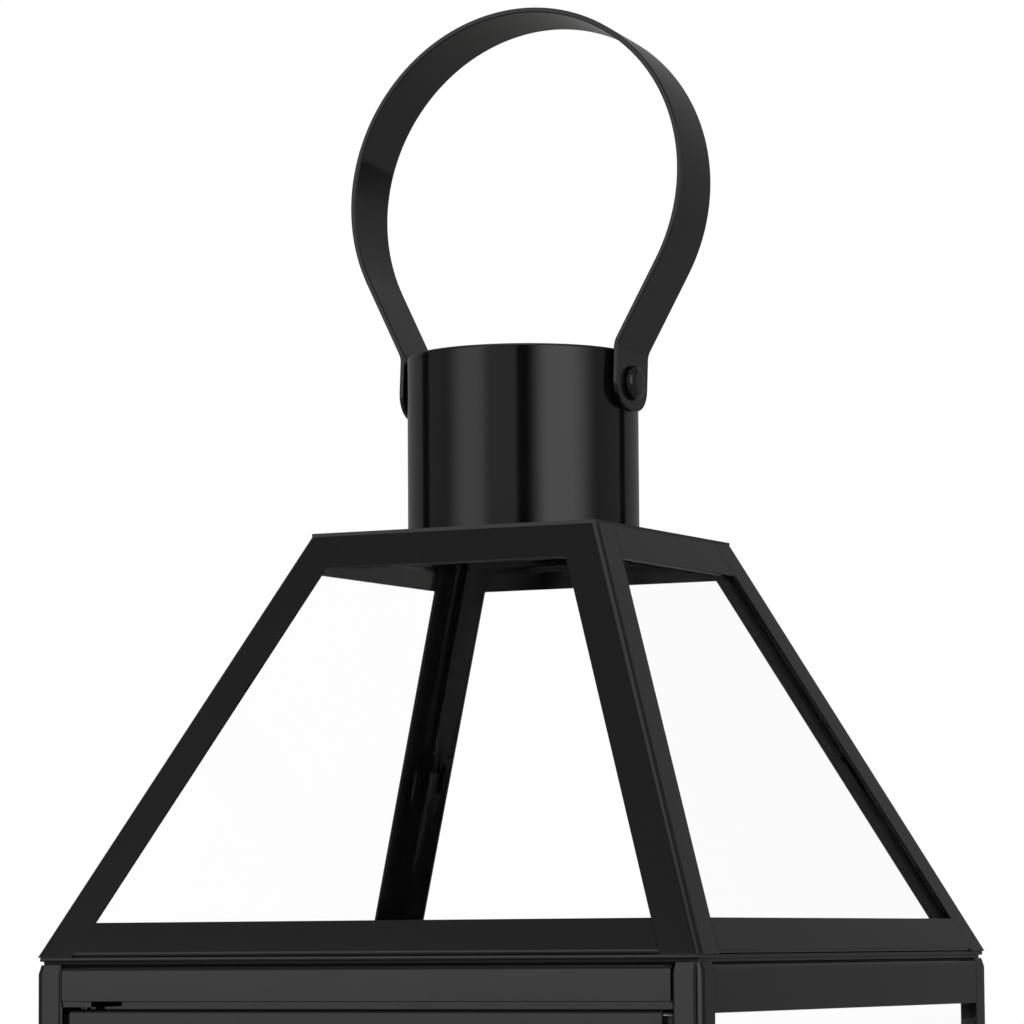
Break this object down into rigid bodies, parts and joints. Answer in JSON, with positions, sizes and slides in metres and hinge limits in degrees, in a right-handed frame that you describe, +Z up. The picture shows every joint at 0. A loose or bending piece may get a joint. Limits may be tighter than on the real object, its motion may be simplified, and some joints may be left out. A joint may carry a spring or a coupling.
{
  "type": "candle lantern",
  "caption": "Square black metal candle lantern with glass sides, a hinged glass door with a catch, a glazed pyramid roof, an open chimney and a swinging strap handle.",
  "frame": {"origin": "on the table, under the middle of the square body", "axes": "+Z up, -Y out of the door's face, +X to the right as seen from the door, along the handle's pivot axis"},
  "size_m": [0.2, 0.21, 0.5414],
  "materials": {
    "black_metal": "satin black coating",
    "clear_glass": "clear polished"
  },
  "bodies": {
    "lantern_body": {"back_bottom_rail": "black_metal", "back_crown_rail": "black_metal", "back_eave_rail": "black_metal", "back_left_hip": "black_metal", "back_left_post": "black_metal", "back_pane": "clear_glass", "back_right_hip": "black_metal", "back_right_post": "black_metal", "back_roof_pane": "clear_glass", "back_top_rail": "black_metal", "body_pane_clips": "black_metal", "candle_plate": "black_metal", "chimney": "black_metal", "crown_plate": "black_metal", "floor_plate": "black_metal", "front_bottom_rail": "black_metal", "front_crown_rail": "black_metal", "front_eave_rail": "black_metal", "front_left_hip": "black_metal", "front_left_post": "black_metal", "front_right_hip": "black_metal", "front_right_post": "black_metal", "front_roof_pane": "clear_glass", "front_top_rail": "black_metal", "latch_rivet": "black_metal", "left_bottom_rail": "black_metal", "left_crown_rail": "black_metal", "left_eave_rail": "black_metal", "left_handle_rivet": "black_metal", "left_pane": "clear_glass", "left_roof_pane": "clear_glass", "left_top_rail": "black_metal", "lower_hinge_lug": "black_metal", "right_bottom_rail": "black_metal", "right_crown_rail": "black_metal", "right_eave_rail": "black_metal", "right_handle_rivet": "black_metal", "right_pane": "clear_glass", "right_roof_pane": "clear_glass", "right_top_rail": "black_metal", "roof_pane_clips": "black_metal", "roof_seat_bars": "black_metal", "upper_hinge_lug": "black_metal"},
    "door": {"door_bottom_rail": "black_metal", "door_hinge_stile": "black_metal", "door_knob": "black_metal", "door_latch_stile": "black_metal", "door_pane": "clear_glass", "door_pane_clips": "black_metal", "door_top_rail": "black_metal", "lower_pivot_pin": "black_metal", "upper_pivot_pin": "black_metal"},
    "handle": {"handle_strap": "black_metal"},
    "latch": {"latch_lever": "black_metal"}
  },
  "joints": [
    {"name": "door_swing", "type": "hinge", "parent": "lantern_body", "child": "door", "pos_m": [-0.0865, -0.096, 0.14], "axis": [0, 0, -1], "range_deg": [0, 98]},
    {"name": "handle_swing", "type": "hinge", "parent": "lantern_body", "child": "handle", "pos_m": [0, 0, 0.4305], "axis": [1, 0, 0], "range_deg": [-123, 132]},
    {"name": "latch_turn", "type": "hinge", "parent": "lantern_body", "child": "latch", "pos_m": [0.0955, -0.1, 0.14], "axis": [0, 1, 0], "range_deg": [0, 90]}
  ]
}
